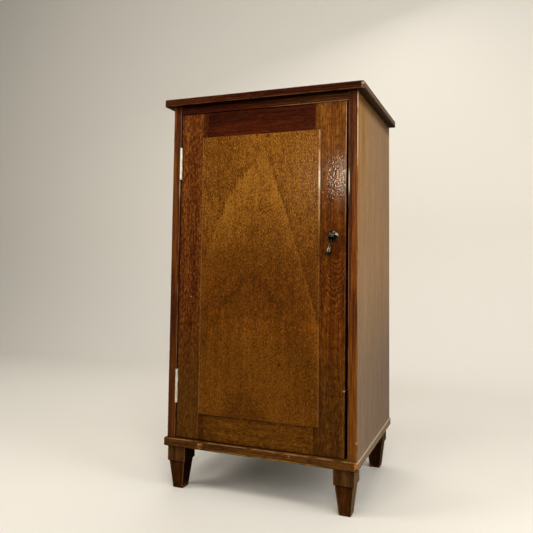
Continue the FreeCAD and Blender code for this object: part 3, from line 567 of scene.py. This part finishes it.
# Wear on the closing stile's front corner, with a painted highlight that brightens it towards the
# top.
lock_rub_and_highlight = lock_wear * (0.06 + lock_stile.z.above(0.56, 0.74) * 0.34)
lock_body = lock_stile.mix(lock_arris * lock_rub_and_highlight, lock_body, paint(204, 168, 122))
# Painted shade: the closing edge's face, inside the gap, is darkened.
closing_edge_shade = (lock_edge - lock_stile.x).below(0.0003, 0.0008) * (1 - lock_front)
lock_body = lock_stile.mix(closing_edge_shade * 0.7, lock_body, paint(32, 12, 3))
lock_nick = lock_stile.spot(0.1962, 0.2548, 0.0022)
lock_body = lock_stile.mix(lock_nick, lock_body, paint(206, 158, 108))
lock_stile.polish(lock_body, 0.070)
lock_stile.on("lock_stile")

left_end, right_end = hinge_high.x, lock_low.x
# Each rail: its seed, how curly it is, the depth of its pores, and its colours from dark to light.
rail_tones = {
    "door_top_rail": (109.0, 0.15, 0.60, (30, 6, 1), (51, 14, 3), (74, 27, 7)),
    "door_bottom_rail": (113.0, 0.60, 0.30, (56, 30, 3), (82, 46, 6), (108, 66, 14)),
}
for name, (seed, curliness, pore_depth, dark, middle, light) in rail_tones.items():
    rail = Timber(f"{name}_mahogany", "door_wood", "x", seed)
    rail_curl = rail.noise((0.012, 0.012, 0.006), seed + 1, 3.0, 0.6, 1.2)
    rail_tone = rail.tone * (1 - curliness) + rail_curl * curliness
    rail_colour = rail.shades(rail_tone, dark, middle, light)
    left_shadow = rail.x.below(left_end + 0.002, left_end + 0.050)
    rail_body = rail.mix(left_shadow * 0.4, rail_colour, paint(*dark))
    joint = rail.x.near(left_end, 0.0003, 0.0010) + rail.x.near(right_end, 0.0003, 0.0010)
    rail_body = rail.mix(joint * 0.6, rail_body, paint(20, 6, 2))
    rail.polish(rail_body, pore_depth=pore_depth, glint=0.05)
    rail.on(name)


# Door panel.
# A flat figured mahogany panel is planted on the frame; the grain rises in faint, broad arches.
# Its corners are rubbed light, the right one with a painted glint; pin holes near the upper edge, a
# few small dents.

panel_low, panel_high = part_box("door_panel")
panel_glint_level = 0.704
panel = Timber("panel_mahogany", "panel_wood", "z", 127.0)
panel.pores = panel.noise(along("z", 0.0050, 0.0018), 134.0, 1.0, 0.5)
wander = panel.noise((0.05, 0.05, 0.09), 4.0, 3.0) * 0.10 + panel.streaks * 0.06 - 0.08
# Each arch: its crown (x, z), spread and lean of its legs, curve, tone at its rim and core,
# depth between them, and the darkness just above it with the reach of that darkness.
arches = (
    ((0.010, 0.778), 1.62, 0.72, 5.4, 0.048, -0.002, 0.150, 0.030, 0.040),
    ((0.001, 0.549), 1.00, 0.55, 6.5, 0.008, -0.016, 0.060, 0.014, 0.090),
    ((-0.020, 0.466), 0.10, 0.00, 10.0, -0.004, 0.022, 0.130, 0.030, 0.034),
    ((-0.036, 0.232), 0.00, 0.00, 15.0, -0.014, -0.036, 0.040, 0.008, 0.044),
)
figure = 0.0
for (crown_x, crown_z), spread, lean, curve, rim, core, depth, dark, reach in arches:
    across = panel.x - crown_x
    inside = (crown_z - panel.z - abs(across) * spread - across * lean
              - across ** 2.0 * curve + wander)
    filling = rim + inside.above(0.0, depth) * (core - rim)
    outside = figure - inside.above(-reach, 0.0) * dark
    figure = outside + inside.above(-0.006, 0.006) * (filling - outside)
figure = figure * panel.noise((0.045, 0.045, 0.075), 12.0, 2.0).above(0.14, 0.60) * 1.30
figure = figure * (0.60 + panel.z.above(0.56, 0.68) * 0.50 + panel.z.below(0.42, 0.54) * 0.75)
# A thin light line, dark on its outer side, runs down the right leg of the first arch.
(crown_x, crown_z), spread, lean, curve = arches[0][:4]
across = panel.x - crown_x
leg_line = (crown_z - panel.z - across * (spread + lean) - across ** 2.0 * curve
            + wander * 0.25)
light_line = leg_line.above(-0.002, 0.006) * leg_line.below(0.008, 0.024)
dark_line = leg_line.below(-0.004, 0.002) * leg_line.above(-0.024, -0.006)
leg_reach = panel.x.above(0.020, 0.045) * panel.z.above(0.36, 0.46)
figure = figure + (light_line * 0.032 - dark_line * 0.020) * leg_reach
# Painted shade: a darker belt across the middle of the panel.
shade_belt = panel.z.near(0.475, 0.050, 0.110)
figure = figure - shade_belt * 0.026
upper_light = (panel.x.above(-0.080, -0.005) * 0.046 - 0.026) * panel.z.above(0.62, 0.70)
speckle = panel.noise((0.0016, 0.0016, 0.0042), 6.0, 2.0, 0.6)
mottle = panel.noise((0.011, 0.011, 0.026), 16.0, 2.0)
panel_tone = (panel.bands * 0.08 + panel.streaks * 0.12 + mottle * 0.15 + speckle * 0.65
              + figure + upper_light)
panel_colour = panel.shades(panel_tone, (70, 37, 5), (110, 63, 13), (150, 99, 32), spread=0.10)
panel_low_tone = panel.shades(panel_tone, (58, 29, 2), (86, 47, 5), (114, 69, 12), spread=0.15)
panel_red_tone = panel.shades(panel_tone, (62, 28, 3), (96, 48, 8), (128, 74, 20), spread=0.11)
panel_body = panel.mix(panel.z.below(0.42, 0.69), panel_colour, panel_low_tone)
redness = panel.z.near(0.44, 0.04, 0.14) * (mottle * 0.6 + panel.bands * 0.4).above(0.36, 0.62)
panel_body = panel.mix(redness * 0.75, panel_body, panel_red_tone)
left_edge = panel.x.below(panel_low.x + 0.0016, panel_low.x + 0.0040)
right_edge = panel.x.above(panel_high.x - 0.0034, panel_high.x - 0.0014)
top_edge = panel.z.above(panel_high.z - 0.0030, panel_high.z - 0.0012)
panel_wear = panel.noise((0.02, 0.02, 0.04), 7.0, 3.0).above(0.30, 0.52)
# Wear on both side corners, with a painted glint peaking on the right corner about 0.7 m up.
right_rub_and_glint = 0.07 + panel.z.near(0.715, 0.04, 0.14) * 0.75
panel_rub_and_glint = (left_edge * 0.14 + right_edge * right_rub_and_glint) * panel_wear
panel_body = panel.mix(panel_rub_and_glint, panel_body, paint(198, 154, 100))
# Painted highlight: a short near-white glint on the right corner.
panel_glint = right_edge * panel.z.near(panel_glint_level, 0.008, 0.034) * 0.70
panel_body = panel.mix(panel_glint, panel_body, paint(240, 222, 192))
panel_body = panel.mix(top_edge * 0.3, panel_body, paint(60, 28, 6))
pin_holes = ((0.0212, 0.8041, 0.0044), (-0.0056, 0.8060, 0.0032), (0.0908, 0.8013, 0.0030))
dents = ((-0.0119, 0.2936, 0.0026), (0.0532, 0.2993, 0.0032), (-0.1380, 0.2147, 0.0026),
         (0.1203, 0.2491, 0.0030), (-0.0883, 0.4407, 0.0030), (0.0691, 0.4137, 0.0024))
marks = sum((panel.spot(*mark) for mark in pin_holes + dents), 0.0)
panel_body = panel.mix(marks * 0.8, panel_body, paint(24, 8, 2))
panel.polish(panel_body, 0.15, pore_colour=paint(50, 20, 3), pore_depth=0.42, relief=0.00009)
panel.on("door_panel")


# Butt hinges.
# Two butt hinges with five knuckles on a pin are let into the stile and the side.
# The metal is pale, and darker brown where it laps the case; slotted screws hold each leaf.

hinge_metal = Finish("hinge_brass", "hinge_metal")
hinge_stain = hinge_metal.noise((0.005, 0.005, 0.012), 2.0, 3.0)
hinge_pale = hinge_metal.shades(hinge_stain, (200, 192, 172), (216, 210, 193), (228, 223, 210))
hinge_metal.constant(Metallic=0.3)
# Darker brown on the part that laps the case.
lap_darkening = hinge_metal.x.below(0.0005 - side_low.x, 0.0017 - side_low.x)
hinge_pale = hinge_metal.mix(lap_darkening * 0.8, hinge_pale, paint(88, 52, 26))
hinge_metal.lay(hinge_pale, 0.30 + hinge_stain * 0.2, hinge_stain, 0.00006)
hinge_metal.on(*[name for name in nodes if name.startswith(("upper_hinge", "lower_hinge"))])

screw_brass = Finish("hinge_screw_brass", "hinge_metal")
screw_tarnish = screw_brass.noise((0.003, 0.003, 0.003), 3.0, 2.0)
screw_colour = screw_brass.shades(screw_tarnish, (118, 104, 74), (152, 138, 104), (182, 168, 132))
screw_brass.constant(Metallic=0.9)
screw_brass.lay(screw_colour, 0.25 + screw_tarnish * 0.2, screw_tarnish, 0.00004)
screw_pitch = 0.027
screw_corners = np.array([
    (0.0, 0.0), (0.0010, 0.0), (0.0020, 0.0), (0.00300, 0.0), (0.00308, -0.0001),
    (0.0017, -0.0016), (0.0016, -0.0120), (0.0, -0.0148)])
corner_numbers = np.arange(len(screw_corners))
row_places = np.linspace(0, len(screw_corners) - 1, 71)
leaf_screw = np.stack([np.interp(row_places, corner_numbers, column)
                       for column in screw_corners.T], axis=1)
for cad_name, piece_name, body, facing in (
        ("hinge_frame_screws", "frame_leaf_screws", "carcass", 1),
        ("hinge_door_screws", "door_leaf_screws", "door", -1)):
    screw_low, screw_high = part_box(cad_name)
    head_x = screw_high.x if facing > 0 else screw_low.x
    screw_y = (screw_low.y + screw_high.y) / 2
    screws = []
    for leaf_name in ("upper_hinge_frame_leaf", "lower_hinge_frame_leaf"):
        leaf_low, leaf_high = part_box(leaf_name)
        for number, step in enumerate((-screw_pitch, 0.0, screw_pitch)):
            spot = (head_x, screw_y, (leaf_low.z + leaf_high.z) / 2 + step)
            screw = spun(leaf_screw, spot, (facing, 0, 0), (0, 1, 0))
            slot_turn = 0.5 + 1.1 * number
            screws.append(slotted(screw, spot, (facing, 0, 0), slot_turn,
                                  width=0.0008, depth=0.0006))
    piece = surface(piece_name, screws, body, screw_brass)
    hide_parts(cad_name)


# Drop pull.
# A turned brass rose is held by a post whose slotted eye carries a pear drop on a pin.
# The brass has aged to a dull grey gold, and is darkest on the post and the rose's upper part.

brass = Finish("pull_brass", "pull_brass")
post_low, post_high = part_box("pull_post")
brass_stain = brass.noise((0.0100, 0.0100, 0.0100), 5.0, 1.0, 0.5)
brass_colour = brass.shades(brass_stain, (62, 54, 36), (94, 84, 60), (138, 127, 100))
brass.constant(Metallic=1.0)
post_patina = (brass.y.below(post_low.y + 0.0060, post_low.y + 0.0085)
               * brass.z.above(post_low.z - 0.0010, post_low.z + 0.0010))
brass_colour = brass.mix(post_patina * 0.90, brass_colour, paint(36, 31, 21))
rose_grime = (brass.z.above(post_high.z - 0.0015, post_high.z + 0.0015)
              * brass.x.below(post_high.x - 0.0010, post_high.x + 0.0030))
brass_colour = brass.mix(rose_grime * 0.80, brass_colour, paint(40, 34, 20))
brass.lay(brass_colour, 0.16 + brass_stain * 0.16, brass_stain, 0.000006)
brass.on("pull_post", "pull_nut", "pull_pin")


def smooth_profile(points, rows):
    """A curve through profile points that leaves no kinks: Catmull-Rom between neighbours."""
    points = np.array(points, float)
    padded = np.concatenate([2 * points[:1] - points[1:2], points, 2 * points[-1:] - points[-2:-1]])
    place = np.linspace(0, len(points) - 1, rows)
    span = np.minimum(place.astype(int), len(points) - 2)
    t = (place - span)[:, None]
    a, b, c, d = (padded[span + shift] for shift in range(4))
    slope, square, cube = c - a, 2 * a - 5 * b + 4 * c - d, 3 * b - a - 3 * c + d
    curve = 0.5 * (2 * b + slope * t + square * t ** 2 + cube * t ** 3)
    return np.stack([np.maximum(curve[:, 0], 0), curve[:, 1]], axis=1)


rose_low, rose_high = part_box("pull_rose")
rose_middle = ((rose_low.x + rose_high.x) / 2, rose_high.y, (rose_low.z + rose_high.z) / 2)
rose_curve = smooth_profile([
    (0.01245, 0.0002), (0.01248, 0.0010), (0.01215, 0.0017), (0.01150, 0.0019),
    (0.01100, 0.0018), (0.01060, 0.0020), (0.00980, 0.0027), (0.00850, 0.0034),
    (0.00680, 0.0040), (0.00560, 0.0043), (0.00500, 0.0044), (0.0, 0.0044)], 120)
rose_curve = np.concatenate([[[0.0, 0.0]], [[0.0124, 0.0]], rose_curve])
rose = surface("rose", [spun(rose_curve, rose_middle, (0, -1, 0), (1, 0, 0), 96)], "door", brass)
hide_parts("pull_rose")

pin_low, pin_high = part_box("pull_pin")
pivot = (np.array(pin_low) + np.array(pin_high)) / 2
drop_length, drop_lean = 0.040, 0.009
lean = np.arctan2(drop_lean, drop_length)
drop_axis = np.array([-np.sin(lean), 0.0, -np.cos(lean)])
drop_across = np.array([np.cos(lean), 0.0, -np.sin(lean)])
drop_curve = smooth_profile([
    (0.0, 0.0016), (0.0016, 0.0017), (0.0018, 0.0030), (0.0018, 0.0053), (0.0021, 0.0057),
    (0.0028, 0.0061), (0.0029, 0.0068), (0.0025, 0.0078), (0.0024, 0.0100), (0.0026, 0.0150),
    (0.0031, 0.0200), (0.0042, 0.0260), (0.0051, 0.0305), (0.00545, 0.0340), (0.0051, 0.0368),
    (0.0036, 0.0388), (0.0018, 0.0396), (0.0, 0.0399)], 150)
# The eye's wall has a rounded square for its section: the root of a sine and a cosine, signs kept.
eye_turn = np.linspace(0, 2 * np.pi, 33)
eye_middle, eye_half_width, eye_wall = 0.0023, 0.0021, 0.00098
wall_out, wall_along = (np.sign(wave) * np.abs(wave) ** 0.5
                        for wave in (np.cos(eye_turn), np.sin(eye_turn)))
eye_curve = np.stack([eye_middle + eye_wall * wall_out, eye_half_width * wall_along], axis=1)
drop = surface("drop", [spun(drop_curve, pivot, drop_axis, drop_across, 72),
                        spun(eye_curve, pivot, (1, 0, 0), (0, 1, 0), 72)], "pull", brass)
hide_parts("pull_drop")


# Bullet catch and strike plate.
# A sprung steel bullet in a small barrel is pressed into the top of the closing stile.
# It clicks into a plate that is let into the header's underside and held by two small screws.

steel.on("catch_barrel", "catch_bullet", "strike_plate")
plate_low, plate_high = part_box("strike_plate")
plate_screw_inset = 0.0045
plate_head = smooth_profile(
    [(0.0, 0.00025), (0.0010, 0.00022), (0.0018, 0.00008), (0.0020, -0.0003)], 30)
plate_head = np.concatenate([plate_head, [[0.0, -0.0003]]])
plate_screws = []
for screw_x, slot_turn in ((plate_low.x + plate_screw_inset, 0.4),
                           (plate_high.x - plate_screw_inset, 1.3)):
    spot = (screw_x, (plate_low.y + plate_high.y) / 2, plate_low.z)
    head = spun(plate_head, spot, (0, 0, -1), (1, 0, 0), 48)
    plate_screws.append(slotted(head, spot, (0, 0, -1), slot_turn, width=0.0005, depth=0.0002))
surface("strike_screws", plate_screws, "carcass", steel)

spring_low, spring_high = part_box("catch_spring")
coil_foot = ((spring_low.x + spring_high.x) / 2, (spring_low.y + spring_high.y) / 2, spring_low.z)
wire_radius, coil_radius, press = 0.0003, 0.0022, 0.002
coil_turns, end_turns, end_rise = 6.0, 0.8, 0.0005


def coil_spring(foot, height):
    """A wire wound on a cylinder: angle 2*pi*turn, nearly flat end turns, even pitch between."""
    turn = np.linspace(0, coil_turns, 241)
    lowest, highest = wire_radius, height - wire_radius
    lift = np.interp(turn, [0, end_turns, coil_turns - end_turns, coil_turns],
                     [lowest, lowest + end_rise, highest - end_rise, highest])
    angle = 2 * np.pi * turn
    outward = np.stack([np.cos(angle), np.sin(angle), 0 * angle], axis=1)
    middle = np.array(foot) + coil_radius * outward + lift[:, None] * np.array([0, 0, 1])
    forward = np.gradient(middle, axis=0)
    sideways = np.cross(forward / np.linalg.norm(forward, axis=1)[:, None], outward)
    round_wire = np.linspace(0, 2 * np.pi, 16, endpoint=False)[:, None]
    ring = np.cos(round_wire) * outward[:, None] + np.sin(round_wire) * sideways[:, None]
    thickness = np.full(len(turn), wire_radius)
    thickness[[0, -1]] = 0
    return middle[:, None] + thickness[:, None, None] * ring


spring_height = spring_high.z - spring_low.z
spring = surface("spring", [coil_spring(coil_foot, spring_height)], "door", steel)
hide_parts("catch_spring")
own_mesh(spring)


# Studio.
# A pale sweep serves as floor and backdrop, under large soft lamps on both sides and overhead.
# A small window lamp glints on the closing stile, and a lamp behind lifts the back.

floor_front, bend_start, bend_radius, wall_top, half_width = -4.0, 1.1, 0.7, 4.0, 5.0
bend = np.linspace(-np.pi / 2, 0, 24)
bend_curve = np.stack([bend_start + bend_radius * np.cos(bend),
                       bend_radius + bend_radius * np.sin(bend)], axis=1)
sweep_profile = np.concatenate([[[floor_front, 0.0], [bend_start, 0.0]], bend_curve,
                                [[bend_start + bend_radius, wall_top]]])
sweep_points = np.concatenate([np.insert(sweep_profile, 0, end, axis=1)
                               for end in (-half_width, half_width)])
count = len(sweep_profile)
first = np.arange(count - 1)
sweep_faces = np.stack([first, first + count, first + count + 1, first + 1], axis=1)
sweep_mesh = bpy.data.meshes.new("backdrop")
sweep_mesh.from_pydata(sweep_points.tolist(), [], sweep_faces.tolist())
sweep_mesh.polygons.foreach_set("use_smooth", np.ones(len(sweep_mesh.polygons), bool))
backdrop = bpy.data.objects.new("backdrop", sweep_mesh)
bpy.context.scene.collection.objects.link(backdrop)
paper = Finish("backdrop_paper", None)
in_polish = paper.node("LightPath", {}, {}, "Is Glossy Ray")
paper_colour = paper.mix(in_polish, paint(226, 221, 212), paint(66, 55, 40))
paper.tree.links.new(paper_colour.socket, paper.surface.inputs["Base Color"])
paper.constant(Roughness=0.9)
sweep_mesh.materials.append(paper.material)


def lamp(name, place, aim, size, power, tint):
    """A rectangular soft lamp at a place, turned to face its aim."""
    light = bpy.data.lights.new(name, "AREA")
    light.shape = "RECTANGLE"
    light.size, light.size_y = size
    light.energy = power
    light.color = tint
    holder = bpy.data.objects.new(name, light)
    turn = (Vector(aim) - Vector(place)).to_track_quat("-Z", "Y").to_matrix().to_4x4()
    holder.matrix_world = Matrix.Translation(place) @ turn
    bpy.context.scene.collection.objects.link(holder)


soft_white = (1.0, 0.97, 0.91)
lamp("window", (-0.380, -2.50, 1.055), (0.18, -0.17, 0.70), (0.046, 0.17), 3.7, (1.0, 0.89, 0.70))
lamp("key_right", (1.5, -2.6, 1.9), (0.0, -0.1, 0.5), (1.6, 1.2), 31.0, soft_white)
lamp("key_left", (-2.3, -1.6, 2.1), (0.0, -0.1, 0.5), (1.2, 1.2), 38.0, soft_white)
lamp("overhead", (0.2, -1.2, 2.3), (0.0, -0.1, 0.6), (1.2, 0.6), 22.0, soft_white)
lamp("right_fill", (2.2, -0.4, 1.3), (0.2, 0.0, 0.5), (1.2, 1.2), 33.0, (1.0, 0.99, 0.97))
lamp("back_fill", (-0.4, 1.0, 2.2), (0.0, 0.2, 0.5), (1.4, 0.6), 12.0, (1.0, 0.98, 0.95))

world = bpy.data.worlds.new("room")
bpy.context.scene.world = world
world.use_nodes = True
sky = world.node_tree.nodes["Background"]
sky.inputs["Color"].default_value = paint(226, 223, 217)
seen = add_node(world.node_tree, "LightPath", {}, {}, "Is Camera Ray")
room_light, light_seen = 0.16, 0.75
sky_strength = seen * light_seen + room_light
world.node_tree.links.new(sky_strength.socket, sky.inputs["Strength"])

photo_width = 533.0
focal_pixels = 570.5
centre_pixel = (283.7, 225.7)
sensor_width = 36.0
camera_right, camera_distance, camera_height = 0.5020, 1.17095, 0.5251
camera_place = Vector((camera_right, side_low.y - camera_distance, camera_height))
heading, pitch, roll = np.radians([20.73, 3.48, 0.6])
forward = Vector((-np.sin(heading) * np.cos(pitch), np.cos(heading) * np.cos(pitch), np.sin(pitch)))
level_right = Vector((np.cos(heading), np.sin(heading), 0.0))
level_up = level_right.cross(forward)
right = level_right * np.cos(roll) + level_up * np.sin(roll)
up = level_up * np.cos(roll) - level_right * np.sin(roll)
eye = bpy.data.cameras.new("camera")
eye.sensor_width = sensor_width
eye.lens = focal_pixels / photo_width * sensor_width
eye.shift_x = (photo_width / 2 - centre_pixel[0]) / photo_width
eye.shift_y = (centre_pixel[1] - photo_width / 2) / photo_width
camera = bpy.data.objects.new("camera", eye)
camera_turn = Matrix((right, up, -forward)).transposed().to_4x4()
camera.matrix_world = Matrix.Translation(camera_place) @ camera_turn
bpy.context.scene.collection.objects.link(camera)
bpy.context.scene.camera = camera
bpy.context.scene.view_settings.view_transform = "Standard"
